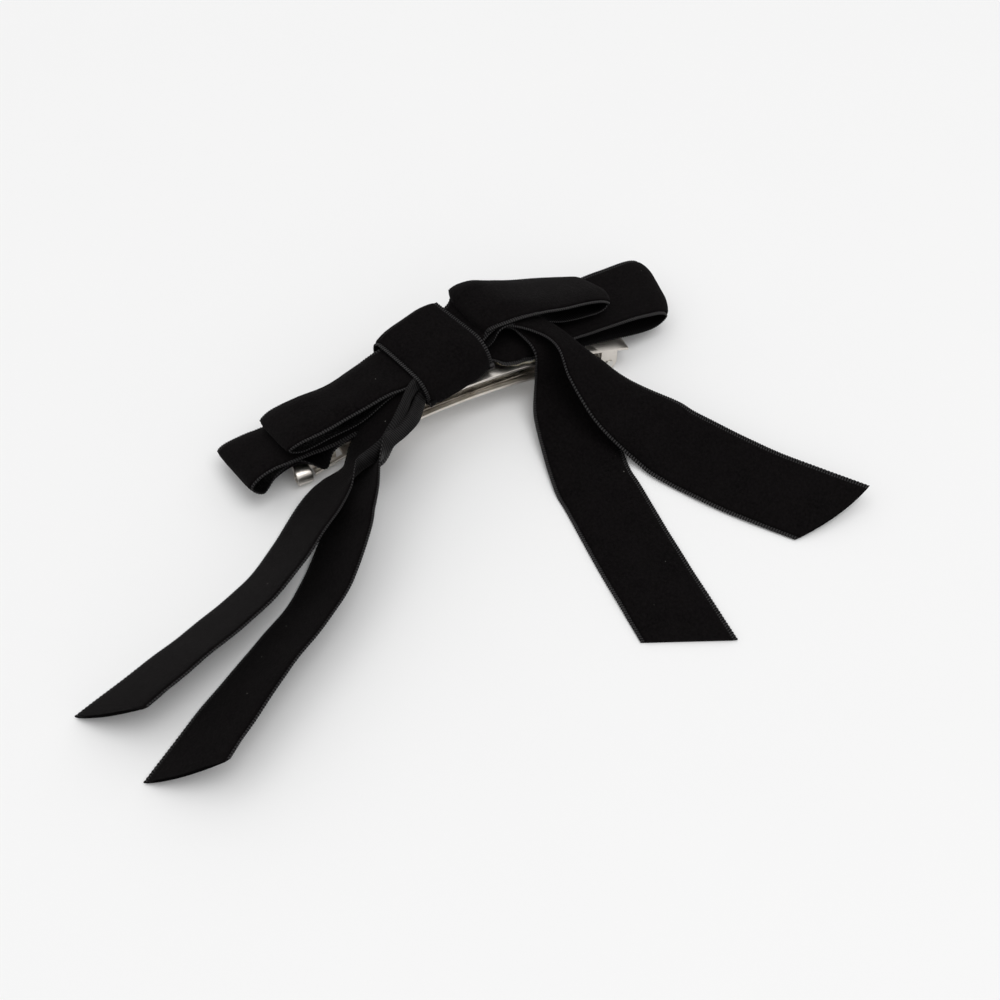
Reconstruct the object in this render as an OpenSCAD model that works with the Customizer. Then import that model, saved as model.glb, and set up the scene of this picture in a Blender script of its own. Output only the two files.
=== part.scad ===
// Velvet ribbon hair bow on a French barrette, lying clip side down.
// X runs along the barrette, Y away from the tails, Z up from the surface it lies on.

/* [Ribbon] */
// Width of the velvet ribbon
ribbon_w = 20; // [17:0.5:20]
// Thickness of the ribbon, pile included
ribbon_t = 0.8; // [0.5:0.1:0.8]
// How much longer one edge of a tail is than the other at its slanted cut
tail_cut = 10; // [0:1:12]
// Turn of the knot band about the vertical, in degrees
knot_turn = 10; // [0:1:12]
// Turn of the whole bow on the barrette, in degrees
bow_turn = 4; // [0:0.5:6]

/* [Barrette] */
// Width of the base plate
plate_w = 9; // [8:0.5:9]
// Thickness of the base plate
plate_t = 0.7; // [0.5:0.1:0.8]
// Radius of the base plate's arch, on its underside
plate_r = 131; // [125:1:140]
// Height of the base plate's underside at the top of its arch
plate_z = 12.6; // [12.4:0.1:12.8]
// Width of the gate, the hinged lower arm
gate_w = 8.4; // [8:0.1:8.4]
// Thickness of the gate
gate_t = 0.8; // [0.6:0.1:0.8]
// Radius of the gate's arch, on its underside
gate_r = 125; // [120:1:130]
// Height of the gate's underside at the top of its arch
gate_z = 7.6; // [7.4:0.1:7.7]
// Width of the tension leaf
leaf_w = 6.4; // [5:0.2:6.4]
// Thickness of the tension leaf
leaf_t = 0.4; // [0.3:0.1:0.4]

/* [Hinge] */
// Diameter of the hinge pin
pin_d = 1.5; // [1.2:0.1:1.6]
// Radial clearance between the pin and the gate's knuckle
pin_clear = 0.05; // [0.03:0.01:0.08]

/* [Catch] */
// Thickness of the catch's sheet metal
catch_t = 0.6; // [0.5:0.1:0.6]
// Height of the rolled finger tabs
tab_h = 5.2; // [4.5:0.1:5.4]

/* [Hidden] */
$fn = 48;
slop = 1;                        // how far a cutting solid runs past what it cuts
touch = 0.05;                    // gap between pieces that lie against each other

// Where the bow's own frame and the barrette's own frame sit over the footprint's centre
bow_shift = [12, 37.6, 0];
clip_in_bow = [6, -5, 0];

// Base plate, in the barrette's frame: X along it, 0 at the top of the arch
plate_left = -42;
plate_right = 44;
sew_holes = [-31, -28, 30, 33];
sew_hole_r = 0.8;
glue_t = 0.3;

// Hinge, in the barrette's frame
hinge_x = 38.5;
hinge_z = 2.4;
ear_w = 4.6;
ear_t = 0.7;
knuckle_r = 1.7;
knuckle_gap = 0.2;
pin_fixed = 0.01;
pin_head_r = pin_d / 2 + 0.4;
pin_head_t = 0.3;

// Gate, in the barrette's frame
gate_left = -41;
gate_neck_x = 34.5;
window_left = -40.2;
window_right = -33.5;
window_half = 3.35;

// Tension leaf and the two pairs of hooks that hold its ends
leaf_r = 330;
leaf_z = 8.6;
leaf_half = 32.5;
slot_half = 1.3;
slot_end = 29;
hook_y = 2.4;
hook_w = 1.2;
hook_t = 0.5;
hook_reach = 1.8;

// Catch, in the barrette's frame
saddle_left = -41.5;
saddle_right = -34.5;
rivet_x = -38;
rivet_r = 0.8;
rivet_head_r = 1.4;
rivet_head_t = 0.35;
prong_out = 2.9;
prong_left = -39.6;
prong_right = -35;
prong_foot = 0.8;
barb_out = 0.35;
barb_h = 0.4;
tab_left = -46;
tab_right = -42.2;
tab_out = 3.6;
tab_foot = 0.1;
link_bottom = 2;
link_top = 4.4;

// Ribbon stations: x, y, z, heading of the width line, tilt of the width line, share of the
// full width. The width line runs from the near edge to the far edge; a share below 1 is a
// stretch where the ribbon is gathered or cupped.
rings_per_span = 5;
lower_loop_path = [
    [-7, -0.8, 15.2, 96, 0, 0.75], [10, 0.6, 15.2, 96, 0, 0.75], [22, 0, 13.3, 90, -3, 1],
    [32, 0.2, 11.5, 88, -7, 1], [42, 0.4, 9.3, 86, -8, 1], [52, 0.6, 7, 84, -4, 1],
    [60, 0.8, 6.2, 82, 0, 1], [64.5, 0.8, 7.4, 81, 2, 1], [61, 0.8, 9.1, 82, 2, 1],
    [52, 0.6, 10.2, 84, -4, 1], [42, 0.4, 11.8, 86, -9, 1], [32, 0.2, 13.6, 88, -10, 1],
    [22, 0, 15, 90, -4, 1], [10, 0.6, 16.2, 96, 0, 0.75], [-8, -0.8, 16.2, 96, 0, 0.75],
    [-16, 0, 14.1, 92, 3, 1], [-24, 0, 12, 93, -4, 1], [-31, 0, 10.6, 94, -8, 1],
    [-38, 0, 10.4, 95, -11, 1], [-45, 0, 10.1, 96, -12, 1], [-50, 0, 8.9, 96, -13, 1],
    [-52, 0, 6.7, 96, -13, 1], [-49, 0, 5, 96, -13, 1], [-44, 0, 6.2, 96, -12, 1],
    [-38, 0, 7.7, 95, -11, 1], [-31, 0, 9.1, 94, -8, 1], [-24, 0, 10.7, 93, -4, 1],
    [-16, 0, 12.6, 92, 1, 0.95], [-11, -0.5, 13.4, 94, 0, 0.8]];
upper_loop_path = [
    [-8, -0.5, 19.2, 96, 0, 0.75], [11, 1.2, 19.3, 96, -1, 0.75], [17, 2.5, 20.7, 94, -5, 0.95],
    [24, 3.5, 18.7, 92, -12, 1], [34, 3.8, 15.6, 91, -17, 1], [42, 3.9, 13.8, 90, -18, 1],
    [47, 3.9, 12.9, 89, -18, 1], [49.5, 3.9, 13.8, 88, -18, 1], [47, 3.9, 15.1, 89, -18, 1],
    [42, 3.9, 16.4, 90, -19, 1], [34, 3.8, 18.6, 91, -20, 1], [24, 3.6, 21.4, 92, -13, 1],
    [17, 2.5, 22.4, 94, -5, 0.95], [11, 1.2, 20.2, 96, -1, 0.75], [-8, -0.5, 20.2, 96, 0, 0.75],
    [-16, -1, 18.7, 95, -6, 0.95], [-24, -1.2, 16.9, 94, -11, 1], [-32, -1.2, 15.7, 94, -15, 1],
    [-38, -1, 14.8, 94, -18, 1], [-40.5, -1, 13.6, 94, -19, 1], [-38, -1, 12.5, 94, -17, 1],
    [-32, -1.2, 12.8, 94, -14, 1], [-24, -1.2, 14.2, 94, -10, 1], [-16, -0.6, 17.6, 95, -8, 0.9],
    [-13, -0.2, 18.6, 96, -6, 0.8]];
inner_left_path = [
    [-91.9, -65.8, 5.9, 119, -32, 1], [-82, -59.7, 6.1, 119, -33, 1],
    [-67.4, -51.2, 6.5, 118, -38, 1], [-51, -42, 6.7, 121, -39, 1],
    [-38.8, -31.9, 8.4, 121, -47, 1], [-34, -27.3, 9.8, 117, -52, 0.97],
    [-27, -21.5, 11, 112, -58, 0.85], [-20, -16.8, 12.6, 105, -62, 0.65],
    [-14.8, -13.4, 15.6, 100, -45, 0.32], [-12, -8.6, 17.1, 99, -5, 0.45],
    [-9.5, -3.5, 17.1, 98, -1, 0.65]];
inner_right_path = [
    [0, 0, 17.2, 97, 0, 0.75], [10, -0.8, 17.2, 94, -1, 0.7], [16, -2.6, 17.8, 80, -10, 0.55],
    [20.7, -9, 18.3, 50, -15, 0.4], [23.7, -14.8, 15.4, 20, -22, 0.35],
    [26, -19, 8.8, 5, -10, 0.75], [25, -26, 4, -3, 0, 0.95], [22.8, -34, 1.3, -6, 0, 1],
    [21.4, -41, 0.5, -6.5, 0, 1], [20.8, -47, 0.4, -6.5, 0, 1], [18.8, -62, 0.4, -6.5, 0, 1],
    [17.3, -76, 0.4, -6.5, 0, 1], [16, -89, 0.4, -6.5, 0, 1]];
outer_left_path = [
    [-100.3, -45.8, 6.5, 106, -36, 1], [-84, -41, 6.5, 106, -38, 1],
    [-65.5, -35.4, 6.7, 108, -39, 1], [-55, -30.5, 7.2, 114, -42, 1],
    [-44.5, -23.5, 8, 115, -40, 1], [-38.1, -19.7, 9.1, 103, -38, 1],
    [-32.6, -18.4, 11.1, 98, -37, 0.9], [-26.5, -17.5, 14, 97, -37, 0.7],
    [-20.5, -16, 17, 98, -34, 0.48], [-15, -8.3, 17.2, 98, -12, 0.55],
    [-9.5, -2, 18.2, 98, -2, 0.7]];
outer_right_path = [
    [0, 0, 18.2, 97, 0, 0.75], [10, -0.3, 18.2, 92, -1, 0.7], [19, -2.3, 19.2, 75, -10, 0.6],
    [26.5, -8.8, 18.4, 50, -15, 0.45], [31.1, -13.8, 15.2, 15, -14, 0.45],
    [33.5, -19.3, 11.8, 10, 2, 0.6], [35.5, -27.5, 8.2, 20, 6, 0.8], [41, -38, 4.8, 24, 15, 0.97],
    [43.3, -44, 3.8, 27, 17, 1], [49.2, -55.6, 3.4, 29, 16, 1], [54.5, -64.2, 2.9, 30, 13, 1],
    [63.9, -77.9, 2.5, 31, 12, 1]];

// Knot band and binding thread, in the bow's frame
knot_at = [1.4, 0, 0];
band_near = -10.8;
band_far = 10.4;
band_top = 21.9;
band_bottom = 13.65;
band_corner = 2.6;
thread_d = 0.3;
thread_turns = 5;
thread_pitch = 0.9;
thread_half = 9;
thread_top = 21.05;
thread_bottom = 14.5;
thread_corner = 1;
stitch_l = 1.2;
stitch_pitch = 2;
stitch_half = 8;
stitch_y = 3;

// ---- Ribbon geometry ----

function unit(v) = v / norm(v);

// A smooth curve through stations p, at share t of the span that starts at station i
function station(p, i) =
    i < 0 ? 2 * p[0] - p[1] : i >= len(p) ? 2 * p[len(p) - 1] - p[len(p) - 2] : p[i];
function spline_at(p, i, t) =
    let (a = station(p, i - 1), b = station(p, i), c = station(p, i + 1), d = station(p, i + 2))
    0.5 * (2 * b + (c - a) * t + (2 * a - 5 * b + 4 * c - d) * t * t
        + (3 * b - a - 3 * c + d) * t * t * t);
function spline(p) = [
    for (i = [0:len(p) - 2]) for (k = [0:rings_per_span - 1]) spline_at(p, i, k / rings_per_span),
    p[len(p) - 1]];

function place_of(s) = [s[0], s[1], s[2]];
function width_line(s) = [cos(s[4]) * cos(s[3]), cos(s[4]) * sin(s[3]), sin(s[4])];
function travel(s, i) =
    unit(place_of(s[min(i + 1, len(s) - 1)]) - place_of(s[max(i - 1, 0)]));

// The four corners of the ribbon's section at ring i, slanted along the ribbon by slant
function section(s, i, slant) =
    let (c = place_of(s[i]), w = width_line(s[i]), t = travel(s, i), n = unit(cross(t, w)),
        across = w * ribbon_w * s[i][5] / 2 + t * slant / 2, thick = n * ribbon_t / 2)
    [c - across - thick, c + across - thick, c + across + thick, c - across + thick];

// How much of an end's slanted cut the ring that lies i rings from that end takes
function slant_share(i) = max(0, 1 - i / rings_per_span);

// A ribbon along a path, its first and last ends cut on the slant
module ribbon(path, cut_first = 0, cut_last = 0) {
    s = spline(path);
    last = len(s) - 1;
    points = [for (i = [0:last])
        each section(s, i, cut_first * slant_share(i) + cut_last * slant_share(last - i))];
    sides = [for (i = [0:last - 1]) for (k = [0:3])
        let (a = i * 4 + k, b = i * 4 + (k + 1) % 4) each [[b, a, b + 4], [b + 4, a, a + 4]]];
    ends = [[0, 1, 2, 3], [for (k = [3:-1:0]) last * 4 + k]];
    polyhedron(points, concat(sides, ends), convexity = 10);
}

module in_bow() {
    translate(bow_shift) rotate([0, 0, bow_turn]) children();
}

// ---- Barrette geometry ----

module in_clip() {
    translate(bow_shift) rotate([0, 0, bow_turn]) translate(clip_in_bow)
        rotate([0, 0, -bow_turn]) children();
}

// An arched strip between x0 and x1, its underside on a circle of radius r topping out at z
module arched_strip(r, z, thick, width, x0, x1) {
    intersection() {
        translate([0, width / 2, z - r]) rotate([90, 0, 0]) linear_extrude(width)
            difference() {
                circle(r + thick, $fn = 180);
                circle(r, $fn = 180);
            }
        translate([x0, -width, 0]) cube([x1 - x0, 2 * width, z + 2 * thick]);
    }
}

// Height of that strip's underside at x
function arch_z(r, z, x) = z - r + sqrt(r * r - x * x);

module across_bore(x, z, radius, length) {
    translate([x, length / 2, z]) rotate([90, 0, 0]) cylinder(r = radius, h = length);
}

// One of the two ears that carry the hinge pin, running up into the plate
module ear(y) {
    difference() {
        translate([0, y + ear_t, 0]) rotate([90, 0, 0]) linear_extrude(ear_t) intersection() {
            union() {
                translate([hinge_x, hinge_z]) circle(ear_w / 2);
                translate([hinge_x - ear_w / 2, hinge_z]) square([ear_w, plate_z]);
            }
            translate([0, plate_z - plate_r]) circle(plate_r + plate_t / 2, $fn = 180);
        }
        across_bore(hinge_x, hinge_z, pin_d / 2 + pin_fixed, 2 * plate_w);
    }
}

// A pair of hooks bent down from the plate, with their lips under one end of the leaf
module leaf_hooks(side) {
    lip_top = arch_z(leaf_r, leaf_z, leaf_half) - touch;
    web = leaf_half + 2 * touch;
    mirror([side < 0 ? 1 : 0, 0, 0]) for (y = [-hook_y, hook_y]) {
        translate([web, y - hook_w / 2, lip_top - hook_t])
            cube([hook_t, hook_w, arch_z(plate_r, plate_z, web) + plate_t / 2 - lip_top + hook_t]);
        translate([web + hook_t - hook_reach, y - hook_w / 2, lip_top - hook_t])
            cube([hook_reach, hook_w, hook_t]);
    }
}

module base_plate() {
    color("silver") in_clip() {
        difference() {
            arched_strip(plate_r, plate_z, plate_t, plate_w, plate_left, plate_right);
            for (x = sew_holes) translate([x, 0, 0]) cylinder(r = sew_hole_r, h = plate_z + slop);
            rivet_hole();
        }
        ear(-plate_w / 2);
        ear(plate_w / 2 - ear_t);
        leaf_hooks(-1);
        leaf_hooks(1);
    }
}

module hinge_pin() {
    head_y = plate_w / 2 + touch + pin_head_t / 2;
    color("gainsboro") in_clip() {
        across_bore(hinge_x, hinge_z, pin_d / 2, 2 * head_y);
        for (y = [-head_y, head_y])
            translate([0, y, 0]) across_bore(hinge_x, hinge_z, pin_head_r, pin_head_t);
    }
}

module gate() {
    neck_w = plate_w - 2 * ear_t - 2 * knuckle_gap;
    color("silver") in_clip() difference() {
        union() {
            arched_strip(gate_r, gate_z, gate_t, gate_w, gate_left, gate_neck_x);
            arched_strip(gate_r, gate_z, gate_t, neck_w, gate_neck_x - slop, hinge_x);
            across_bore(hinge_x, hinge_z, knuckle_r, neck_w);
        }
        across_bore(hinge_x, hinge_z, pin_d / 2 + pin_clear, plate_w);
        translate([window_left, -window_half, 0])
            cube([window_right - window_left, 2 * window_half, gate_z + gate_t]);
    }
}

module tension_leaf() {
    color("darkgray") in_clip() difference() {
        arched_strip(leaf_r, leaf_z, leaf_t, leaf_w, -leaf_half, leaf_half);
        translate([-slot_end, -slot_half, 0]) cube([2 * slot_end, 2 * slot_half, leaf_z + slop]);
    }
}

module rivet_hole() {
    translate([rivet_x, 0, 0]) cylinder(r = rivet_r + pin_fixed, h = plate_z + slop);
}

module catch_saddle() {
    color("silver") in_clip() difference() {
        arched_strip(plate_r - catch_t - touch, plate_z - catch_t - touch, catch_t,
            2 * prong_out, saddle_left, saddle_right);
        rivet_hole();
    }
}

// Height of the saddle's underside at x
function saddle_z(x) = arch_z(plate_r, plate_z, x) - catch_t - touch;

module catch_rivet() {
    foot = saddle_z(rivet_x - rivet_head_r) - touch;
    head = arch_z(plate_r, plate_z, rivet_x + rivet_head_r) + plate_t;
    color("gainsboro") in_clip() translate([rivet_x, 0, 0]) {
        translate([0, 0, foot - rivet_head_t]) cylinder(r = rivet_head_r, h = rivet_head_t);
        translate([0, 0, foot - rivet_head_t])
            cylinder(r = rivet_r, h = head + touch - foot + rivet_head_t);
        translate([0, 0, head]) cylinder(r = rivet_head_r, h = rivet_head_t);
    }
}

// One leg of the catch with its barb and its rolled finger tab; side is -1 near, 1 far
module prong(side) {
    top = saddle_z(prong_left) - 2 * touch;
    mirror([0, side < 0 ? 0 : 1, 0]) {
        translate([prong_left, -prong_out, prong_foot])
            cube([prong_right - prong_left, catch_t, top - prong_foot]);
        translate([prong_left + 1, -prong_out - barb_out, prong_foot])
            cube([prong_right - prong_left - 2, barb_out + touch, barb_h]);
        translate([tab_left, -prong_out, link_bottom])
            cube([prong_left - tab_left + touch, catch_t, link_top - link_bottom]);
        translate([tab_left, 0, 0]) rotate([90, 0, 90]) linear_extrude(tab_right - tab_left)
            difference() {
                tab_outline(0);
                tab_outline(catch_t);
            }
    }
}

// The finger tab's D-shaped outline, pulled in by inset all round
module tab_outline(inset) {
    intersection() {
        translate([-prong_out, tab_h / 2 + tab_foot]) scale([tab_out / (tab_h / 2), 1])
            circle(tab_h / 2 - inset);
        translate([-prong_out - tab_out, 0]) square([tab_out + catch_t - inset, 2 * tab_h]);
    }
}

module front_prong() {
    color("silver") in_clip() prong(-1);
}

module rear_prong() {
    color("silver") in_clip() prong(1);
}

module glue_pad(x0, x1) {
    color("ivory") in_clip() arched_strip(plate_r + plate_t + touch / 2,
        plate_z + plate_t + touch / 2, glue_t, plate_w - 2, x0, x1);
}

module glue_pad_left() {
    glue_pad(-27, -17);
}

module glue_pad_middle() {
    glue_pad(-12, 4);
}

module glue_pad_right() {
    glue_pad(9, 29);
}

// ---- Bow ----

module lower_loop() {
    color("black") in_bow() ribbon(lower_loop_path);
}

module upper_loop() {
    color("black") in_bow() ribbon(upper_loop_path);
}

module inner_tails() {
    color("black") in_bow()
        ribbon(concat(inner_left_path, inner_right_path), -tail_cut, tail_cut * 0.8);
}

module outer_tails() {
    color("black") in_bow()
        ribbon(concat(outer_left_path, outer_right_path), -tail_cut, tail_cut);
}

// A closed band's outline, pulled in by inset on every side
module wrap_outline(near, far, bottom, top, corner, inset) {
    r = corner - inset;
    points = [for (c = [[near + corner, bottom + corner, 180], [far - corner, bottom + corner, 270],
            [far - corner, top - corner, 0], [near + corner, top - corner, 90]])
        for (a = [0:15:90]) [c[0] + r * cos(c[2] + a), c[1] + r * sin(c[2] + a)]];
    polygon(points);
}

module wrap(near, far, bottom, top, corner, thick, length) {
    translate([-length / 2, 0, 0]) rotate([90, 0, 90]) linear_extrude(length) difference() {
        wrap_outline(near, far, bottom, top, corner, 0);
        wrap_outline(near, far, bottom, top, corner, thick);
    }
}

module knot_band() {
    color("black") in_bow() translate(knot_at) rotate([0, 0, knot_turn])
        wrap(band_near, band_far, band_bottom, band_top, band_corner, ribbon_t, ribbon_w);
}

module binding_thread() {
    color("dimgray") in_bow() translate(knot_at) rotate([0, 0, knot_turn])
        for (k = [0:thread_turns - 1])
            translate([(k - (thread_turns - 1) / 2) * thread_pitch, 0, 0])
                wrap(-thread_half, thread_half, thread_bottom, thread_top, thread_corner,
                    thread_d, thread_d);
}

// The row of stitches that closes the band on its underside
module band_stitches() {
    color("dimgray") in_bow() translate(knot_at) rotate([0, 0, knot_turn])
        for (x = [-stitch_half:stitch_pitch:stitch_half])
            translate([x, stitch_y, band_bottom - thread_d]) cube([stitch_l, thread_d, thread_d]);
}

base_plate();
hinge_pin();
gate();
tension_leaf();
catch_saddle();
catch_rivet();
front_prong();
rear_prong();
glue_pad_left();
glue_pad_middle();
glue_pad_right();
lower_loop();
upper_loop();
inner_tails();
outer_tails();
knot_band();
binding_thread();
band_stitches();
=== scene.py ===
import math
import bpy
import numpy as np
from mathutils import Matrix, Vector


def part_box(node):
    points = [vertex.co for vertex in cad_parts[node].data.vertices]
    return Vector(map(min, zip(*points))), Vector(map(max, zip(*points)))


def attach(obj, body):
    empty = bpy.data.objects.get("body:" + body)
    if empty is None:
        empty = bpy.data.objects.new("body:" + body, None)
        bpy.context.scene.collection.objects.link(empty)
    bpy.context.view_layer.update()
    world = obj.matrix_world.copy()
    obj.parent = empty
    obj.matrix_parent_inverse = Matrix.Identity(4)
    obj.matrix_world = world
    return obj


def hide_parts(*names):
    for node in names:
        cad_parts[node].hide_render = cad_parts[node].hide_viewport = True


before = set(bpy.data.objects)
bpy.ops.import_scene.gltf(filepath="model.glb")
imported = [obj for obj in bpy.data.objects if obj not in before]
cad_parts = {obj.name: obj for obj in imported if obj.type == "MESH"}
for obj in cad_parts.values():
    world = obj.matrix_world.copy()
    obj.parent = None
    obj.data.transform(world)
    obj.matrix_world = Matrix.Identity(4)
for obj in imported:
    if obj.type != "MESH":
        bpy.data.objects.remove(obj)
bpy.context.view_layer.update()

MM = 0.001

# ---- Where the bow and its knot are: lengths in millimetres, turns in degrees ----

bow_turn = 4            # of the bow on the barrette
knot_turn = 10          # of the knot band on the bow
knot_at = (1.4, 0.0)    # the knot's middle, in the bow's own frame
band_near, band_far, band_bottom, band_top = -10.4, 10.0, 14.4, 21.8


def turned(x, y, degrees):
    a = math.radians(degrees)
    return np.array([x * math.cos(a) - y * math.sin(a), x * math.sin(a) + y * math.cos(a)])


def mm_box(node):
    return [np.array(corner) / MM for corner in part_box(node)]


band_low, band_high = mm_box("knot_band")
bow_origin = ((band_low + band_high)[:2] / 2 - turned(*knot_at, bow_turn)
              - turned(0, (band_near + band_far) / 2, bow_turn + knot_turn))


def bow_to_row(points):
    """Points in the bow's own frame, in mm, to the row frame, in metres."""
    p = np.asarray(points, float)
    out = p.copy()
    a = math.radians(bow_turn)
    out[..., 0] = p[..., 0] * math.cos(a) - p[..., 1] * math.sin(a) + bow_origin[0]
    out[..., 1] = p[..., 0] * math.sin(a) + p[..., 1] * math.cos(a) + bow_origin[1]
    return out * MM


def knot_to_row(points):
    """Points in the knot's frame, in mm, to the row frame, in metres."""
    p = np.array(points, float)
    p[..., :2] = np.stack(turned(p[..., 0], p[..., 1], knot_turn), -1) + knot_at
    return bow_to_row(p)


def on_bow(piece, node):
    """Hangs a finished piece on the bow, in place of its plain CAD node."""
    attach(piece, "bow")
    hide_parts(node)


# ---- Camera ----

view_azimuth, view_elevation = -26, 53    # degrees
camera_distance = 332                     # mm, to a point above the middle of the bow
aim_height = 19                           # mm, of that point
off_axis_right, off_axis_up = -0.0504, 0.10656    # of that point from the picture's middle, per distance
focal_length, sensor_width = 50, 36       # mm


def make_camera():
    az, el = math.radians(view_azimuth), math.radians(view_elevation)
    right = np.array([math.cos(az), math.sin(az), 0])
    back = np.array([math.sin(az) * math.cos(el), -math.cos(az) * math.cos(el), math.sin(el)])
    up = np.cross(right, -back)
    aim = np.array([bow_origin[0], bow_origin[1], aim_height])
    place = aim - camera_distance * (-back + off_axis_right * right + off_axis_up * up)
    data = bpy.data.cameras.new("camera")
    data.lens, data.sensor_width = focal_length, sensor_width
    data.clip_start, data.clip_end = 0.01, 20
    camera = bpy.data.objects.new("camera", data)
    bpy.context.scene.collection.objects.link(camera)
    turn = Matrix((right, up, back)).transposed().to_4x4()
    camera.matrix_world = Matrix.Translation(Vector(place * MM)) @ turn
    bpy.context.scene.camera = camera


# ---- Ribbon stations in the bow's frame: x, y, z, heading and tilt of the width line in degrees,
# share of the width, and, where the margins aren't simply rolled down to make up that share, the
# turn of the near and the far margin in radians, below 0 for a margin folded up over the pile ----

lower_loop_path = [
    [-7, -0.8, 15.2, 96, 0, 0.75], [10, 0.4, 15.2, 96, 0, 0.75], [22, -0.6, 13.3, 90, 2, 0.97, 0.9, 0.2],
    [32, 0.2, 11.6, 88, 4, 1], [42, 0.4, 9.8, 86, 7, 1], [52, 0.6, 7.2, 84, 8, 1],
    [61.3, 0.6, 5.6, 82, 9, 0.99], [66, 0.7, 7.1, 81, 7, 0.96], [62.6, 0.8, 9.5, 82, 3, 0.99],
    [52, 0.7, 10.9, 84, -2, 1], [42, 0.4, 11.7, 86, -5, 1], [32, -0.2, 13, 88, -6, 1],
    [23, -1.2, 14.4, 90, -3, 0.97, 1.3, 0.2],
    [16, -0.9, 15.4, 92, -3, 0.92, 0.8, 0.1], [10, 0.4, 16.2, 96, 0, 0.75], [-8, -0.8, 16.2, 96, 0, 0.75],
    [-16, -0.2, 14.1, 92, -3, 0.9], [-24, -0.2, 11.8, 93, -10, 0.88, 0.9, 0.5],
    [-31, -0.1, 10.2, 94, -14, 0.88, 1.1, 0.5], [-38, 0, 9.8, 95, -17, 0.9, 0.7, 0.4],
    [-45, 0.2, 9.6, 96, -15, 0.91, 0.2, 0.3], [-50.3, 0.2, 8.6, 96, -13, 0.92, 0.1, 0.2],
    [-52.5, 0.1, 6.5, 96, -9, 0.88, 0.05, 0.05], [-50, 0, 4.2, 96, -6, 0.92, 0.3, 0.2],
    [-45, 0.9, 5.6, 96, -10, 0.9, 1, 0.3], [-39.6, 0.7, 7.2, 95, -9, 0.93, 1.2, 0.3],
    [-35, -1.2, 7.7, 95, 0, 0.98, 0.1, 0.3],
    [-31, -0.2, 8.8, 94, -5, 0.95, 0.7, 0.3], [-24, 0, 10.5, 93, -4, 0.92, 0.8, 0.3],
    [-16, 0, 12.6, 92, 0, 0.92], [-10, -0.5, 13.6, 94, 0, 0.8]]
upper_loop_path = [
    [-8, -0.5, 18.7, 96, 0, 0.75], [11, 1.4, 19.2, 96, -1, 0.75], [17, 4, 20.4, 94, -5, 0.88],
    [24, 4.1, 18.2, 92, -12, 0.95], [34, 3.8, 14.7, 91, -13, 1], [41.5, 3.8, 12.7, 93, -11, 0.99],
    [45.3, 3.8, 12.1, 97, -12, 0.97], [47.4, 3.8, 13.3, 99, -16, 0.92], [45.2, 3.9, 14.8, 97, -18, 0.97],
    [41, 4, 16.3, 93, -18, 0.99], [34, 3.9, 18.6, 91, -17, 0.99], [24, 4.3, 22, 92, -12, 0.97],
    [18, 4.8, 23.4, 94, -3, 0.92], [13.1, 4.7, 23.1, 97, 0, 0.86], [9.8, 2.6, 20.8, 96, 3, 0.7, 0.02, 0.02],
    [-8, -0.5, 19.5, 96, 0, 0.73],
    [-16, -0.4, 18.6, 95, -13, 0.82, 0.5, 0.6], [-24, -0.7, 17, 94, -17, 0.84, 0.5, 0.6],
    [-32, -0.5, 16.1, 94, -15, 0.87, 0.5, 0.6], [-38.6, -0.3, 15, 94, -15, 0.89, 0.3, 0.4],
    [-41.6, -0.4, 13.1, 94, -16, 0.84, 0.1, 0.1], [-38.6, -0.5, 11.8, 94, -15, 0.88, 0.2, 0.3],
    [-32, -0.9, 12.4, 94, -17, 0.88, 0.3, 0.4], [-24, -1, 14, 94, -14, 0.86, 0.3, 0.5],
    [-16, -0.8, 17, 95, -12, 0.78, 0.3, 0.5], [-10, -0.8, 18.8, 96, -4, 0.6, 0.02, 0.02]]
inner_tails_path = [
    [-91.9, -65.8, 5.9, 119, -32, 1], [-82, -59.7, 6.1, 119, -33, 1],
    [-67.4, -51.2, 6.5, 118, -38, 1], [-51, -42, 6.7, 121, -39, 1],
    [-39.1, -31.4, 9, 121, -42, 1], [-34.8, -25.8, 10.8, 117, -39, 1],
    [-29.6, -22.1, 11.2, 110, -43, 0.9, -0.1, 0.3], [-25.4, -18.7, 11.2, 106, -47, 0.8, -0.4, 0.6],
    [-21, -18.8, 13.1, 103, -55, 0.7, -1.6, 0.9], [-16.5, -16.4, 13.1, 101, -45, 0.6, -2.3, 1],
    [-11.4, -12.9, 13.2, 100, -32, 0.5, -2.3, 1], [-8.3, -8.6, 13.6, 99, -16, 0.5, -2.5, 1],
    [-6, -5.6, 14.5, 98, -6, 0.5, -2.9, 0.9], [-2.5, -1.5, 15.4, 97, 0, 0.55, -3, 0.5],
    [2, 0.2, 15.6, 97, 0, 0.6, -1.2, 0.2], [6, 0.6, 16.4, 96, 0, 0.65, 0.02, 0.5],
    [10, 0.8, 17.2, 94, -1, 0.7], [16.9, 2.6, 18, 85, 0, 0.5, 0.1, 1.2],
    [22, 0.4, 18.4, 62, -5, 0.45, 0.1, 1.2], [24.9, -4.6, 17.4, 35, -6, 0.42, 0.1, 1.2],
    [26.7, -8.4, 15.4, 18, -6, 0.45, 0.1, 1.2], [27.7, -10.4, 11.3, 8, -4, 0.55, 0.1, 1],
    [28.4, -12.8, 7, 2, -2, 0.72, 0, 0.7], [27.5, -18.5, 3.8, -3, 0, 0.93, 0, 0.3],
    [25.5, -26, 2.6, -4, 0, 1], [23.2, -34, 1.2, -6, 0, 1],
    [21.4, -41, 0.5, -6.5, 0, 1], [20.8, -47, 0.4, -6.5, 0, 1], [18.8, -62, 0.4, -6.5, 0, 1],
    [17.3, -76, 0.4, -6.5, 0, 1], [16, -89, 0.4, -6.5, 0, 1]]
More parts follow.
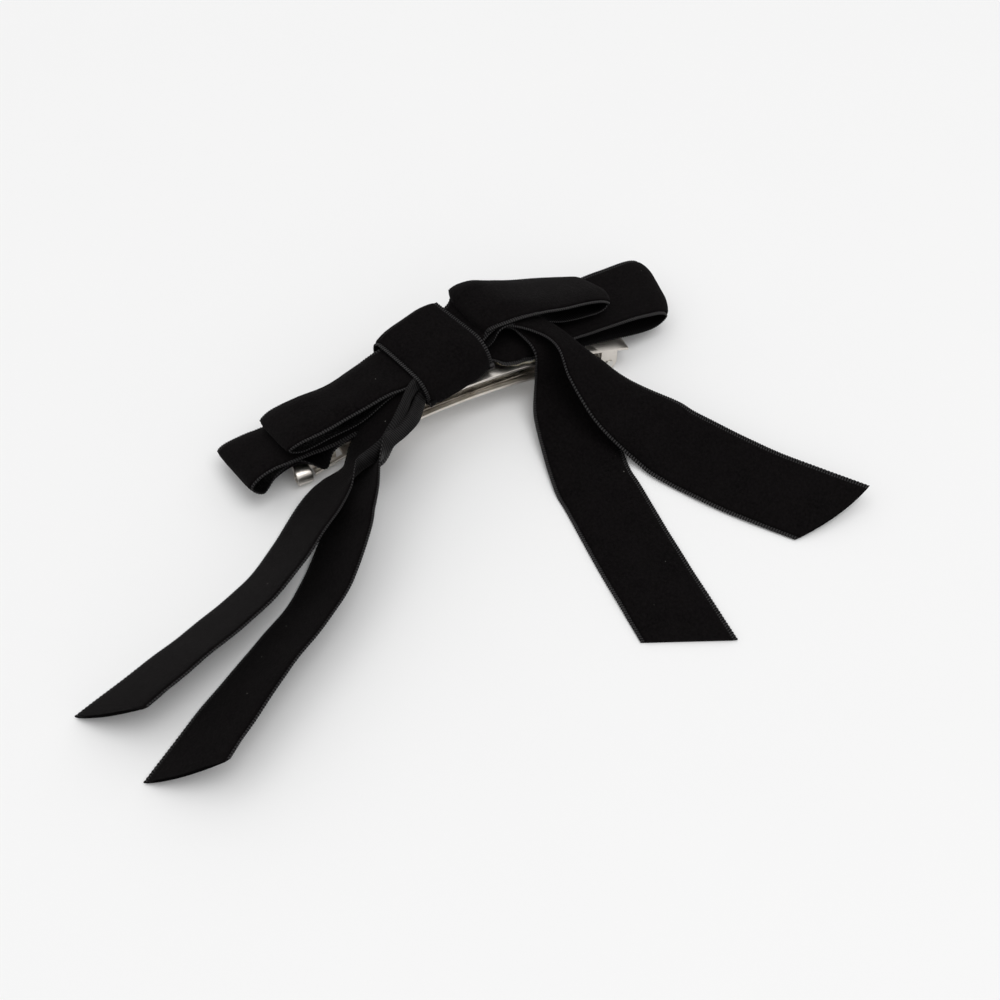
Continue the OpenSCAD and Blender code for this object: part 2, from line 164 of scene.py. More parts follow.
outer_tails_path = [
    [-100.3, -45.8, 6.5, 106, -36, 1], [-84, -41, 6.5, 106, -38, 1],
    [-65.5, -35.4, 6.7, 108, -39, 1], [-55, -30.5, 7.2, 114, -42, 1],
    [-44.5, -23.5, 8, 115, -40, 1], [-38.1, -19.7, 9.1, 103, -38, 1],
    [-33.9, -17, 8.6, 100, -40, 1, -0.1, 0.3], [-29.2, -17.4, 11.1, 98, -42, 0.85, -1.2, 0.5],
    [-25.8, -15.7, 12.1, 97, -30, 0.9, -1.9, 0.5], [-21.7, -14.4, 14.1, 97, -15, 0.8, -2.3, 0.8],
    [-19.4, -13.8, 15, 97, -12, 0.65, -2.3, 0.8], [-16.7, -12.3, 15.8, 97, -8, 0.55, -2.3, 0.8],
    [-13.3, -9.3, 16.5, 97, -6, 0.5, -2.3, 0.8], [-10.2, -5.9, 16.8, 97, -4, 0.5, -2.3, 0.8],
    [-6.5, -3.6, 16.8, 97, -3, 0.5, -2.9, 0.8],
    [-2, -0.8, 16.5, 97, 0, 0.55, -3, 0.4], [2, 0.4, 16.5, 97, 0, 0.6, -1.2, 0.2],
    [6, 0.8, 17.5, 95, 0, 0.62, 0.02, 0.6], [10, 1.5, 18.4, 92, -1, 0.65, 0.1, 1.2],
    [19, 1.2, 19.4, 75, -10, 0.5, 0.1, 1.2],
    [26.5, -6.2, 18.6, 50, -18, 0.42, 0.1, 1.2], [30.4, -12, 16, 20, -22, 0.42, 0.1, 1.2],
    [33, -18.3, 12.2, 10, -4, 0.6, 0.1, 1], [35.5, -27.5, 8.2, 20, 6, 0.8, 0.1, 0.6],
    [41, -38, 4.8, 24, 15, 0.97],
    [43.3, -44, 3.8, 27, 17, 1], [49.2, -55.6, 3.4, 29, 16, 1], [54.5, -64.2, 2.9, 30, 13, 1],
    [63.9, -77.9, 2.5, 31, 12, 1]]

# ---- The course of a ribbon; lengths in millimetres ----

ribbon_w = 20
rib_pitch = 0.64        # of the woven ribs along a selvage
ring_step = rib_pitch / 4
span_samples = 60       # of the smooth curve between two stations

roll_start = 0.35       # share of the way to the edge at which a margin rolled down starts to turn
fold_start, fold_length = 0.6, 0.14    # the same for a margin folded up, which turns in a short stretch
flat_turn = 0.02        # radians, of a margin that lies flat
roll_turns = np.linspace(flat_turn, 0.85, 24)
roll_shares = roll_start + (1 - roll_start) * np.sinc(roll_turns / math.pi)    # of the width, for each turn
gathered_x, gathered_y = 11, 4    # how near the knot's middle a strip is gathered with flat margins


def roll_shape(t):
    """How far a margin rolled down has turned at share t of the way from the middle to the edge."""
    return np.clip((t - roll_start) / (1 - roll_start), 0, 1)


def fold_shape(t):
    """The same for a margin folded up over the pile."""
    return np.clip((t - fold_start) / fold_length, 0, 1)


def full_station(row):
    """A station with the turn of both margins that makes up its share of the width."""
    if len(row) == 8:
        return row
    gathered = abs(row[0] - knot_at[0]) < gathered_x and abs(row[1]) < gathered_y
    turn = flat_turn if gathered else float(np.interp(-row[5], -roll_shares, roll_turns))
    return [*row, turn, turn]


def smooth_curve(stations):
    """Distance along a smooth curve through the stations, and its rows, ring_step apart."""
    p = np.array([full_station(row) for row in stations], float)
    p = np.vstack([2 * p[0] - p[1], p, 2 * p[-1] - p[-2]])
    t = (np.arange(span_samples) / span_samples)[:, None]
    rows = []
    for a, b, c, d in zip(p, p[1:], p[2:], p[3:]):
        rows.append(0.5 * (2 * b + (c - a) * t + (2 * a - 5 * b + 4 * c - d) * t ** 2
                           + (3 * b - a - 3 * c + d) * t ** 3))
    fine = np.vstack(rows + [p[-2:-1]])
    along = np.concatenate([[0], np.cumsum(np.linalg.norm(np.diff(fine[:, :3], axis=0), axis=1))])
    count = int(round(along[-1] / ring_step)) + 1
    s = np.linspace(0, along[-1], count)
    return s, np.column_stack([np.interp(s, along, column) for column in fine.T])


def unit(v):
    return v / np.linalg.norm(v, axis=-1, keepdims=True)


def soft_noise(s, seed, size, wobble=1.0):
    """A smooth seeded wave along s, about wobble high, with bumps about size long."""
    local = np.random.default_rng(seed)
    out = np.zeros_like(s)
    for k in range(5):
        length = size * (0.7 + 0.35 * k)
        out += math.sin(1 + k) * np.sin(2 * math.pi * s / length + local.uniform(0, 6.3))
    return wobble * out / 2.2


# ---- A ribbon's section, from the near edge over the pile to the far edge and back below ----

PILE, SELVAGE, REVERSE = 0, 1, 2    # material slots
bead_r = 0.29           # of the round woven edge
bead_u, bead_h = ribbon_w / 2 - bead_r, -0.02
rib_depth = 0.28        # of the bead's ribs, as a share of its radius
pile_edge = ribbon_w / 2 - 1.05
pile_steps = ((-0.1, -0.12), (0, 0.2), (0.25, 0.35))    # inward from pile_edge, and height
pile_h, pile_points = 0.4, 13
back_h, back_points = -0.36, 8
pile_top_from = 0.3     # height from which the pile's points belong to its top, not to its edge
tuft_rise, tuft_spread = 0.012, 0.05    # random unevenness of the pile's top and of its edges
least_share = 0.2       # of the width, that a section may be narrowed to
wave_size, wave_height = 17, 0.12       # of the slow waves along the edges
cut_reach = 12          # length of ribbon over which a slanted end turns square
back_uv_shift = 40      # sets the reverse's place in the uv map apart from the pile's

across_grid = np.linspace(-ribbon_w / 2 - 0.1, ribbon_w / 2 + 0.1, 103)
across_step = across_grid[1] - across_grid[0]


def section_profile():
    """Across and height of each point of the section, its bead angle or None, and the material after it."""
    points = [(-bead_u, bead_h, math.radians(angle), SELVAGE) for angle in range(205, 4, -40)]
    points += [(-pile_edge + inward, height, None, PILE) for inward, height in pile_steps]
    points += [(u, pile_h, None, PILE) for u in np.linspace(-pile_edge + 0.7, pile_edge - 0.7, pile_points)]
    points += [(pile_edge - inward, height, None, PILE if inward >= 0 else SELVAGE)
               for inward, height in reversed(pile_steps)]
    points += [(bead_u, bead_h, math.radians(angle), SELVAGE) for angle in range(175, -26, -40)]
    points += [(u, back_h, None, REVERSE)
               for u in np.linspace(pile_edge - 0.1, -pile_edge + 0.1, back_points)]
    return points


def bent_sections(share, near_turn, far_turn):
    """For every ring the section's middle line at across_grid: across, height and direction."""
    t = np.abs(across_grid) / (ribbon_w / 2)
    near = across_grid < 0
    angle = np.zeros((len(share), len(across_grid)))
    for side, turn, sign in ((near, near_turn, 1), (~near, far_turn, -1)):
        shape = np.where(turn[:, None] > 0, roll_shape(t)[None], fold_shape(t)[None])
        angle += np.where(side[None], sign * turn[:, None] * shape, 0)
    middle = len(across_grid) // 2

    def summed(v):
        line = np.concatenate([np.zeros((len(v), 1)), np.cumsum((v[:, 1:] + v[:, :-1]) / 2, 1)], 1)
        line = line * across_step
        return line - line[:, middle:middle + 1]

    x, z = summed(np.cos(angle)), summed(np.sin(angle))
    rolled = np.where((near_turn < 0)[:, None] & near[None], np.nan, z)
    z = z - (np.nanmax(rolled, 1) + np.nanmin(rolled, 1))[:, None] / 2
    own_share = (np.nanmax(x, 1) - np.nanmin(x, 1)) / ribbon_w
    x = x * np.minimum(1, share / own_share)[:, None]
    return x, z, angle


def surface_offsets(s, point, local):
    """How far one point of the profile is across from its place and above the middle line, along s."""
    u, h, turn, slot = point
    across, height = np.zeros(len(s)), np.full(len(s), float(h))
    if turn is not None:
        rib = bead_r * (1 + rib_depth * np.cos(2 * math.pi * s / rib_pitch + turn * (1 if u < 0 else -1)))
        across += rib * math.cos(turn)
        height += rib * math.sin(turn)
    elif slot == PILE and abs(h) > pile_top_from:
        height += local.normal(0, tuft_rise, len(s))
    elif slot == PILE:
        across += local.normal(0, tuft_spread, len(s))
    return across, height


def column_at(lines, u):
    """A value of every ring's line, at u across."""
    place = (u - across_grid[0]) / across_step
    cell = int(place)
    part = place - cell
    return lines[:, cell] * (1 - part) + lines[:, cell + 1] * part


def grid_mesh(name, rings, materials, face_slots, cloth_uv):
    """A closed tube of quads through rings of points, with its uv map in mm along and round the cloth."""
    count, width = rings.shape[:2]
    index = np.arange(count * width).reshape(count, width)
    here, there = index[:-1], index[1:]
    quads = np.stack([here, np.roll(here, -1, 1), np.roll(there, -1, 1), there], -1).reshape(-1, 4)
    caps = [index[0][::-1].tolist(), index[-1].tolist()]
    mesh = bpy.data.meshes.new(name)
    mesh.from_pydata(rings.reshape(-1, 3).tolist(), [], quads.tolist() + caps)
    for material in materials:
        mesh.materials.append(material)
    slots = np.tile(face_slots, count - 1).tolist() + [PILE] * len(caps)
    mesh.polygons.foreach_set("material_index", slots)
    mesh.polygons.foreach_set("use_smooth", [True] * len(quads) + [False] * len(caps))
    uv = mesh.uv_layers.new(name="Cloth")
    loops = np.empty(len(mesh.loops), np.int32)
    mesh.loops.foreach_get("vertex_index", loops)
    uv.data.foreach_set("uv", cloth_uv.reshape(-1, 2)[loops].astype(np.float32).ravel())
    mesh.update()
    piece = bpy.data.objects.new(name, mesh)
    bpy.context.scene.collection.objects.link(piece)
    return piece


def ribbon(name, stations, pile_side, materials, seed, first_cut=(0, 0), last_cut=(0, 0)):
    """A velvet ribbon along the stations, and its length in mm.

    Its pile is on the side of the surface that pile_side says. A cut is how far the far corner of that
    end is ahead of the near one, and how far the end bulges in the middle."""
    s, row = smooth_curve(stations)
    centre = row[:, :3]
    heading, tilt = np.radians(row[:, 3]), np.radians(row[:, 4])
    width_line = np.column_stack([np.cos(tilt) * np.cos(heading), np.cos(tilt) * np.sin(heading),
                                  np.sin(tilt)])
    travel = unit(np.gradient(centre, axis=0))
    normal = unit(np.cross(travel, width_line)) * pile_side
    lines = bent_sections(np.clip(row[:, 5], least_share, 1), row[:, 6], row[:, 7])
    from_first = np.clip(1 - s / cut_reach, 0, 1)
    from_last = np.clip(1 - (s[-1] - s) / cut_reach, 0, 1)
    slant = first_cut[0] * from_first + last_cut[0] * from_last
    bulge = last_cut[1] * from_last - first_cut[1] * from_first
    wave = soft_noise(s, seed, wave_size, wave_height)
    local = np.random.default_rng(seed + 50)
    profile = section_profile()
    rings = np.empty((len(s), len(profile), 3))
    uv = np.empty((len(s), len(profile), 2))
    for k, point in enumerate(profile):
        u, slot = point[0], point[3]
        line_x, line_z, angle = (column_at(line, u) for line in lines)
        across, height = surface_offsets(s, point, local)
        flat = (u + across) / (ribbon_w / 2)
        sideways = line_x + across * np.cos(angle) - height * np.sin(angle)
        upward = line_z + across * np.sin(angle) + height * np.cos(angle) + wave * flat
        ahead = slant * flat / 2 + bulge * np.clip(1 - flat ** 2, 0, 1)
        rings[:, k] = (centre + width_line * sideways[:, None] + normal * upward[:, None]
                       + travel * ahead[:, None])
        uv[:, k, 0] = s + ahead
        uv[:, k, 1] = u + across + (back_uv_shift if slot == REVERSE else 0)
    rings = bow_to_row(rings)
    slots = np.array([point[3] for point in profile])
    if pile_side < 0:    # the other way round, so that the faces still look outward
        rings, uv, slots = rings[:, ::-1], uv[:, ::-1], np.roll(slots[::-1], -1)
    return grid_mesh(name, rings, materials, slots, uv), float(s[-1])


# ---- Materials ----

class Nodes:
    """A material and its node tree, with short calls that add nodes."""

    def __init__(self, name):
        self.material = bpy.data.materials.new(name)
        self.material.use_nodes = True
        self.tree = self.material.node_tree
        self.tree.nodes.clear()
        self.out = self.tree.nodes.new("ShaderNodeOutputMaterial")
        self.shader = self.tree.nodes.new("ShaderNodeBsdfPrincipled")
        self.give(self.out.inputs["Surface"], self.shader.outputs[0])

    def give(self, socket, value):
        """Links a socket to another, or sets it to a plain value."""
        if isinstance(value, bpy.types.NodeSocket):
            self.tree.links.new(value, socket)
        else:
            socket.default_value = value

    def add(self, kind, inputs=None, **settings):
        node = self.tree.nodes.new(kind)
        for key, value in settings.items():
            setattr(node, key, value)
        for key, value in (inputs or {}).items():
            self.give(node.inputs[key], value)
        return node

    def set(self, **sockets):
        for key, value in sockets.items():
            self.give(self.shader.inputs[key.replace("_", " ")], value)

    def stretched(self, vector, by):
        return self.add("ShaderNodeVectorMath", {0: vector, 1: by}, operation="MULTIPLY").outputs[0]

    def place(self):
        """Object coordinates in millimetres."""
        return self.stretched(self.add("ShaderNodeTexCoord").outputs["Object"], (1 / MM,) * 3)

    def cloth(self):
        """Cloth coordinates in millimetres: along the ribbon, across it."""
        return self.add("ShaderNodeUVMap", uv_map="Cloth").outputs[0]

    def noise(self, vector, scale, detail, rough):
        return self.add("ShaderNodeTexNoise", {"Vector": vector, "Scale": scale, "Detail": detail,
                                               "Roughness": rough}).outputs["Fac"]

    def ramp(self, fac, first, last):
        """A colour that goes from the first to the last (place, colour)."""
        node = self.add("ShaderNodeValToRGB", {"Fac": fac})
        for element, (where, colour) in zip(node.color_ramp.elements, (first, last)):
            element.position = where
            element.color = (*colour, 1)
        return node.outputs["Color"]

    def math(self, operation, a, b=0.0, c=0.0, clamp=False):
        return self.add("ShaderNodeMath", {0: a, 1: b, 2: c}, operation=operation,
                        use_clamp=clamp).outputs[0]

    def mix(self, fac, a, b):
        node = self.add("ShaderNodeMix", data_type="RGBA")
        self.give(node.inputs["Factor"], fac)
        for socket, colour in ((6, a), (7, b)):
            self.give(node.inputs[socket], (*colour, 1) if isinstance(colour, tuple) else colour)
        return node.outputs[2]

    def bump(self, height, strength, distance, after=None):
        """A bump of that height in mm, on top of the one before it."""
        inputs = {"Height": height, "Strength": strength, "Distance": distance * MM}
        if after is not None:
            inputs["Normal"] = after
        return self.add("ShaderNodeBump", inputs).outputs[0]


def grey(value):
    return (value,) * 3


rib_groove_painted_shade = (0.0025, 0.0022, 0.0024)    # painted shade, put in the grooves between the ribs of the selvage and of the reverse
rib_turn = 2 * math.pi / rib_pitch        # radians a millimetre
warp_pitch = 0.35       # mm, between the fine threads that run along the reverse


def velvet():
    m = Nodes("velvet_pile")
    place, cloth = m.place(), m.cloth()
    nap = m.noise(place, scale=0.16, detail=3, rough=0.55)
    fibre = m.noise(place, scale=7.0, detail=3, rough=0.7)
    tuft = m.noise(place, scale=1.5, detail=4, rough=0.65)
    row = m.noise(m.stretched(cloth, (1.2, 6.0, 1.0)), scale=1.0, detail=2, rough=0.5)
    base = m.ramp(nap, (0.3, (0.0014, 0.0011, 0.0012)), (0.7, (0.0033, 0.0027, 0.0028)))
    raised = m.math("MULTIPLY_ADD", fibre, 0.5, m.math("MULTIPLY", tuft, 0.5))
    tips = m.mix(m.ramp(raised, (0.38, grey(0)), (0.62, grey(0.9))), base, (0.0068, 0.0058, 0.006))
    cells = m.add("ShaderNodeTexVoronoi", {"Vector": place, "Scale": 0.16, "Randomness": 1.0}, feature="F1")
    lint = m.math("LESS_THAN", cells.outputs["Distance"], 0.026)
    m.set(Base_Color=m.mix(m.math("MULTIPLY", lint, 0.7), tips, (0.13, 0.125, 0.115)),
          Roughness=m.ramp(fibre, (0.2, grey(0.82)), (0.8, grey(1.0))),
          Specular_IOR_Level=0.03, Sheen_Weight=0.026, Sheen_Roughness=0.4,
          Sheen_Tint=(0.86, 0.84, 0.84, 1))
    bumps = m.bump(fibre, 0.5, 0.12, m.bump(tuft, 0.5, 0.25))
    m.set(Normal=m.bump(row, 0.25, 0.1, bumps))
    return m.material


def selvage():
    m = Nodes("selvage_weave")
    place, cloth = m.place(), m.cloth()
    along = m.add("ShaderNodeSeparateXYZ", {0: cloth}).outputs[0]
    rib = m.math("MULTIPLY_ADD", m.math("COSINE", m.math("MULTIPLY", along, rib_turn)), 0.5, 0.5)
    yarn = m.noise(place, scale=9.0, detail=2, rough=0.6)
    # painted shade in the grooves between the ribs and painted light on their crests
    shade = m.math("MULTIPLY", m.math("POWER", rib, 1.6), m.math("MULTIPLY_ADD", yarn, 0.8, 0.5))
    m.set(Base_Color=m.ramp(shade, (0.05, rib_groove_painted_shade), (0.8, (0.028, 0.0262, 0.0268))),
          Roughness=m.ramp(yarn, (0.2, grey(0.5)), (0.8, grey(0.8))),
          Specular_IOR_Level=m.math("MULTIPLY_ADD", rib, 0.35, 0.03), Sheen_Weight=0.03,
          Sheen_Roughness=0.4)
    m.set(Normal=m.bump(yarn, 0.6, 0.08))
    return m.material


def reverse(name, light):
    """The ribbed satin back; light is its brightness where light falls on it, as a share, and below 1 makes a
    copy with painted shade.
    """
    m = Nodes(name)
    place, cloth = m.place(), m.cloth()
    parts = m.add("ShaderNodeSeparateXYZ", {0: cloth})
    cords = m.math("COSINE", m.math("MULTIPLY", parts.outputs[0], rib_turn))
    ends = m.math("SINE", m.math("MULTIPLY", parts.outputs[1], 2 * math.pi / warp_pitch))
    haze = m.noise(place, scale=0.9, detail=3, rough=0.6)
    weave = m.math("MULTIPLY_ADD", cords, 0.36, m.math("MULTIPLY_ADD", ends, 0.1, 0.5))
    # painted shade in the grooves between the cords and painted light on their tops, the lit colour
    shade = m.math("MULTIPLY", weave, m.math("MULTIPLY_ADD", haze, 0.9, 0.55))
    lit = (0.013 * light, 0.012 * light, 0.0122 * light)
    m.set(Base_Color=m.ramp(shade, (0.1, rib_groove_painted_shade), (0.95, lit)),
          Roughness=m.ramp(haze, (0.3, grey(0.5)), (0.7, grey(0.66))),
          Specular_IOR_Level=m.math("MULTIPLY_ADD", weave, 0.22 * light, 0.02),
          Sheen_Weight=0.03 * light, Sheen_Roughness=0.4)
    m.set(Normal=m.bump(weave, 0.8, 0.12))
    return m.material


def metal(name, colour, dull, rough, brush=(0.4, 9.0, 9.0)):
    """Plated steel: brushed along X, with a haze of tarnish and small dents."""
    m = Nodes(name)
    place = m.place()
    lines = m.noise(m.stretched(place, brush), scale=1.0, detail=3, rough=0.6)
    haze = m.noise(place, scale=0.22, detail=4, rough=0.6)
    spots = m.noise(place, scale=1.9, detail=3, rough=0.65)
    tone = m.ramp(haze, (0.3, dull), (0.62, colour))
    dark = m.ramp(spots, (0.66, grey(0)), (0.74, grey(1)))
    m.set(Base_Color=m.mix(m.math("MULTIPLY", dark, 0.15), tone, tuple(c * 0.55 for c in dull)),
          Metallic=1.0,
          Roughness=m.math("MULTIPLY_ADD", m.math("ADD", lines, haze), 0.12, rough - 0.12, True))
    m.set(Normal=m.bump(lines, 0.05, 0.01, m.bump(spots, 0.05, 0.01)))
    return m.material


def thread():
    m = Nodes("spun_thread")
    fibre = m.noise(m.place(), scale=14.0, detail=3, rough=0.7)
    m.set(Base_Color=m.ramp(fibre, (0.3, (0.008, 0.0075, 0.008)), (0.75, (0.04, 0.038, 0.038))),
          Roughness=m.ramp(fibre, (0.3, grey(0.6)), (0.7, grey(0.85))),
          Specular_IOR_Level=0.35, Sheen_Weight=0.3, Sheen_Roughness=0.4)
    m.set(Normal=m.bump(fibre, 0.6, 0.05))
    return m.material


def glue():
    m = Nodes("hot_melt_glue")
    cloud = m.noise(m.place(), scale=0.9, detail=3, rough=0.6)
    m.set(Base_Color=m.ramp(cloud, (0.3, (0.72, 0.66, 0.5)), (0.7, (0.86, 0.82, 0.7))),
          Roughness=m.ramp(cloud, (0.3, grey(0.25)), (0.7, grey(0.45))),
          Subsurface_Weight=0.3, Subsurface_Radius=(0.002, 0.0016, 0.0009), Subsurface_Scale=0.5)
    m.set(Normal=m.bump(cloud, 0.25, 0.2))
    return m.material


def table_top():
    m = Nodes("table_top")
    grain = m.noise(m.place(), scale=0.02, detail=3, rough=0.5)
    m.set(Base_Color=m.ramp(grain, (0.3, grey(0.9)), (0.7, (0.905, 0.905, 0.904))),
          Roughness=0.45, Specular_IOR_Level=0.25)
    return m.material


# ---- Pieces of cloth ----

# Each end's cut: how far the far corner is ahead of the near one, and the bulge of the middle, in mm.
left_cut, inner_right_cut, outer_right_cut = (-10, 1.3), (8, 0), (10, 1.3)
loop_reverse_painted_shade = 0.22    # painted shade: the reverse inside the loops is darkened to this share, for the loops' own shade


def make_ribbons():
    pile, edge = velvet(), selvage()
    # the loops get the copy of the reverse with painted shade
    looped = [pile, edge, reverse("satin_reverse_painted_shade", loop_reverse_painted_shade)]
    hanging = [pile, edge, reverse("satin_reverse", 1)]
    made = {}
    plan = [("lower_loop", lower_loop_path, looped, {}, ["base_plate", "glue_pad_left", "glue_pad_right"]),
            ("upper_loop", upper_loop_path, looped, {}, ["lower_loop", "outer_tails"]),
            ("inner_tails", inner_tails_path, hanging,
             {"first_cut": left_cut, "last_cut": inner_right_cut}, ["lower_loop"]),
            ("outer_tails", outer_tails_path, hanging,
             {"first_cut": left_cut, "last_cut": outer_right_cut}, ["inner_tails"])]
    for seed, (node, path, materials, cuts, under) in enumerate(plan, 1):
        pile_side = -1 if materials is looped else 1
        piece, length = ribbon(node + "_ribbon", path, pile_side, materials, seed, **cuts)
        on_bow(piece, node)
        made[node] = piece
    return made


band_corners = (    # of the band's closed way: y, z, radius, and the angle at which the corner starts
    (band_far, band_bottom, 2.4, 270), (band_far, band_top, 3, 0),
    (band_near, band_top, 6.2, 90), (band_near, band_bottom, 1.8, 180))
band_lap = 4            # mm, either side of the middle underneath, where the band's ends overlap
lap_drops = 0, 0.1, 0.45    # mm below the band's bottom, along the outer end
band_lean = 4.5         # degrees, the right side of the band's top standing higher than the left
band_twist = 2          # degrees, that the band's far side is turned more than its near side
near_shift = -0.4       # mm, of the band's near side along x
far_shift = -0.8, 1.2   # mm, of its far side beyond that, along x and y
band_share, far_narrowing = 0.985, 0.035    # share of the ribbon's width, and how much less at the far side
band_roll = 0.35        # radians, of its margins at the edge


def band_stations():
    """The knot band's closed way round the bow, in the bow's frame, its ends lapped underneath."""
    way = [(0, band_bottom), (band_lap, band_bottom)]
    for y, z, corner, start in band_corners:
        mid_y = y - corner if start in (270, 0) else y + corner
        mid_z = z + corner if start in (180, 270) else z - corner
        for step in (0, 30, 60, 90):
            a = math.radians(start + step)
            way.append((mid_y + corner * math.cos(a), mid_z + corner * math.sin(a)))
    way += [(y, band_bottom - drop) for y, drop in zip((-band_lap, 0, band_lap), lap_drops)]
    out = []
    for y, z in way:
        back = (y - band_near) / (band_far - band_near)
        x, y = turned(near_shift + far_shift[0] * back, y + far_shift[1] * back, knot_turn) + knot_at
        lean = band_lean * np.clip((z - band_bottom) / (band_top - band_bottom), 0, 1)
        out.append([x, y, z, knot_turn + band_twist * back, lean, band_share - far_narrowing * back,
                    band_roll, band_roll])
    return out


def make_band(materials):
    piece, length = ribbon("knot_band_ribbon", band_stations(), 1, materials, seed=9)
    on_bow(piece, "knot_band")


# ---- Metal ----

bevel_width = 0.08      # mm


def finish_metal():
    plated = metal("nickel_plate", (0.74, 0.7, 0.65), (0.64, 0.6, 0.54), 0.3)
    pins = metal("satin_nickel", (0.7, 0.69, 0.66), (0.55, 0.54, 0.52), 0.4, brush=(3.0, 0.6, 9.0))
    spring = metal("spring_steel", (0.42, 0.39, 0.35), (0.22, 0.2, 0.17), 0.28)
    look = {"base_plate": plated, "gate": plated, "catch_saddle": plated, "front_prong": plated,
            "rear_prong": plated, "hinge_pin": pins, "catch_rivet": pins, "tension_leaf": spring}
    for name, material in look.items():
        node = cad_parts[name]
        node.data.materials.clear()
        node.data.materials.append(material)
        weld = node.modifiers.new("weld", "WELD")
        weld.merge_threshold = 1e-6
        bevel = node.modifiers.new("bevel", "BEVEL")
        bevel.width = bevel_width * MM
        bevel.segments = 2
        bevel.limit_method = "ANGLE"
        bevel.angle_limit = math.radians(35)


# ---- Thread and glue; lengths in millimetres ----

def tube_rings(path, radius, sides=8):
    """Rings of points of a round section along a path."""
    along = unit(np.gradient(path, axis=0))
    side = unit(np.cross(along, (0.3, 0.2, 1)))    # no thread runs in that direction
    other = np.cross(along, side)
    a = np.linspace(0, 2 * math.pi, sides, endpoint=False)[None, :, None]
    outward = side[:, None] * np.cos(a) + other[:, None] * np.sin(a)
    return path[:, None] + np.reshape(radius, (-1, 1, 1)) * outward


def plain_tube(name, rings, material):
    return grid_mesh(name, rings, [material], np.zeros(rings.shape[1], int), np.zeros((*rings.shape[:2], 2)))


thread_half, thread_bottom, thread_top, thread_corner = 8.85, 14.65, 20.9, 0.85    # of one turn of thread
thread_turns, thread_pitch, thread_step = 5, 0.9, 0.1
ply_r, ply_off, ply_pitch, ply_sides = 0.085, 0.075, 0.9, 6


def make_binding_thread(material):
    """Two twisted plies wound round the gathered loops and tails under the band."""
    corners = []
    for y_side, z_side, start in ((-1, -1, 180), (1, -1, 270), (1, 1, 0), (-1, 1, 90)):
        mid_y = y_side * (thread_half - thread_corner)
        mid_z = (thread_bottom + thread_top) / 2 + z_side * ((thread_top - thread_bottom) / 2 - thread_corner)
        for a in np.radians(np.arange(start, start + 91, 15)):
            corners.append((mid_y + thread_corner * math.cos(a), mid_z + thread_corner * math.sin(a)))
    once = np.array(corners + corners[:1])
    steps = np.linalg.norm(np.diff(once, axis=0), axis=1)
    s_once = np.concatenate([[0], np.cumsum(steps)])
    s = np.arange(0, thread_turns * s_once[-1], thread_step)
    y, z = (np.interp(s % s_once[-1], s_once, once[:, k]) for k in (0, 1))
    x = (s / s_once[-1] - thread_turns / 2) * thread_pitch
    path = np.column_stack([x, y, z])
    along = unit(np.gradient(path, axis=0))
    side = unit(np.cross(along, (1, 0, 0)))
    other = np.cross(along, side)
    for k, name in enumerate(("binding_thread_first_ply", "binding_thread_second_ply")):
        twist = (2 * math.pi * s / ply_pitch + k * math.pi)[:, None]
        ply = path + ply_off * (side * np.cos(twist) + other * np.sin(twist))
        piece = plain_tube(name, knot_to_row(tube_rings(ply, ply_r, ply_sides)), material)
        on_bow(piece, "binding_thread")


stitch_places = np.arange(-8, 8.1, 2)    # x of each stitch's left end
stitch_long, stitch_slant, stitch_y = 1.2, 0.5, 3
stitch_dip = 0.25       # of the middle of a stitch below its ends
stitch_r = 0.14


def make_stitches(material):
    """The row of oversewn stitches that closes the band on its underside."""
    low, high = mm_box("band_stitches")
    z = (low[2] + high[2]) / 2
    t = np.linspace(0, 1, 14)
    from_middle = np.abs(2 * t - 1)
    radius = stitch_r * np.sqrt(np.clip(1 - from_middle ** 6, 0.05, 1))
    for k, x in enumerate(stitch_places, 1):
        path = np.column_stack([x + stitch_long * t, stitch_y + stitch_slant * (t - 0.5),
                                z + stitch_dip * (from_middle ** 3)])
        piece = plain_tube(f"band_stitch_{k}", knot_to_row(tube_rings(path, radius)), material)
        on_bow(piece, "band_stitches")


crown_from_pad = 12     # x of the plate's crown, from the left end of the middle glue pad
arch_r = 131.8          # of the plate's arch, at the middle of the glue
glue_sink, glue_half = 0.15, 0.17    # middle of the glue below the pad's top, and half its thickness


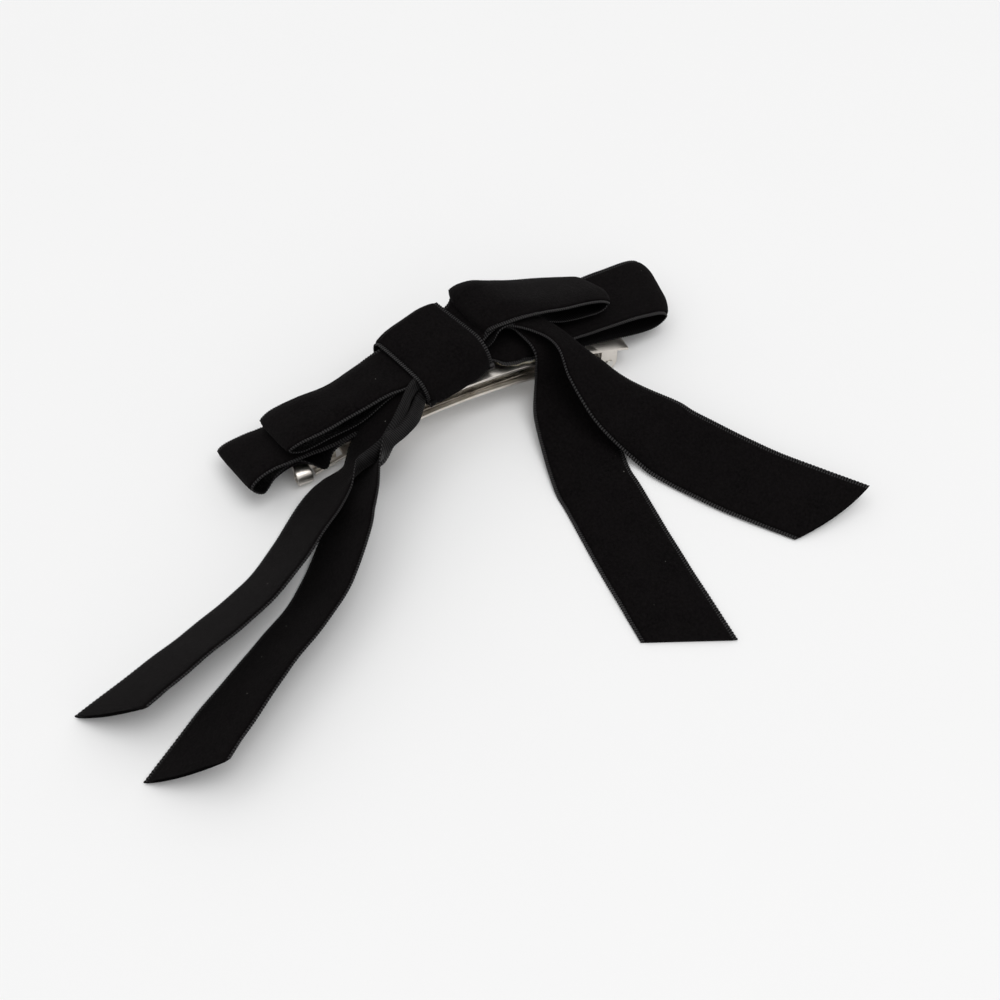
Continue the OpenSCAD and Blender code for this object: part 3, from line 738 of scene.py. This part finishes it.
def make_glue(material):
    """Beads of hot-melt glue squeezed out between the plate and the lower loop."""
    middle_low, middle_high = mm_box("glue_pad_middle")
    crown_x, crown_z = middle_low[0] + crown_from_pad, middle_high[2] - glue_sink
    a = np.linspace(0, 2 * math.pi, 24, endpoint=False)
    wide = np.sign(np.cos(a)) * np.abs(np.cos(a)) ** 0.6
    blunt = 1 - np.abs(np.linspace(-1, 1, 60)) ** 6    # falls to nothing at both ends
    for seed, name in enumerate(("glue_pad_left", "glue_pad_middle", "glue_pad_right"), 20):
        low, high = mm_box(name)
        x = np.linspace(low[0], high[0], len(blunt))
        z = crown_z + np.sqrt(arch_r ** 2 - (x - crown_x) ** 2) - arch_r
        half = (high[1] - low[1]) / 2 * (0.95 + 0.1 * soft_noise(x, seed, 5)) * (0.3 + 0.7 * blunt)
        rings = np.stack([np.repeat(x[:, None], len(a), 1),
                          (low[1] + high[1]) / 2 + half[:, None] * wide,
                          z[:, None] + glue_half * np.sin(a) * (0.2 + 0.8 * blunt[:, None])], -1) * MM
        on_bow(plain_tube(name + "_bead", rings, material), name)


# ---- Stage ----

world_light = 0.65
lights = {"key": ((1.2, -1.6, 4.8), 3.6, 77), "top": ((-0.8, 0.8, 6.4), 7.2, 77)}    # place, size, watts
table_half, table_drop = 30.0, 0.00005    # m; the drop keeps the table off the lowest faces


def area_light(name, place, size, power):
    """A round light that points at the object."""
    data = bpy.data.lights.new(name, "AREA")
    data.shape, data.size, data.energy = "DISK", size, power
    light = bpy.data.objects.new(name, data)
    bpy.context.scene.collection.objects.link(light)
    light.location = place
    light.rotation_mode = "QUATERNION"
    light.rotation_quaternion = (-Vector(place)).to_track_quat("-Z", "Y")


def make_stage():
    corners = [(x * table_half, y * table_half, 0) for x, y in ((-1, -1), (1, -1), (1, 1), (-1, 1))]
    mesh = bpy.data.meshes.new("table")
    mesh.from_pydata(corners, [], [(0, 1, 2, 3)])
    mesh.materials.append(table_top())
    table = bpy.data.objects.new("table", mesh)
    table.location.z = -table_drop
    bpy.context.scene.collection.objects.link(table)
    world = bpy.data.worlds.new("studio")
    world.use_nodes = True
    colour, strength = world.node_tree.nodes["Background"].inputs[:2]
    colour.default_value, strength.default_value = (1, 1, 1, 1), world_light
    bpy.context.scene.world = world
    for name, (place, size, power) in lights.items():
        area_light(name, place, size, power)
    bpy.context.scene.view_settings.view_transform = "Standard"


make_camera()
ribbons = make_ribbons()
make_band(list(ribbons["lower_loop"].data.materials))
finish_metal()
spun = thread()
make_binding_thread(spun)
make_stitches(spun)
make_glue(glue())
make_stage()
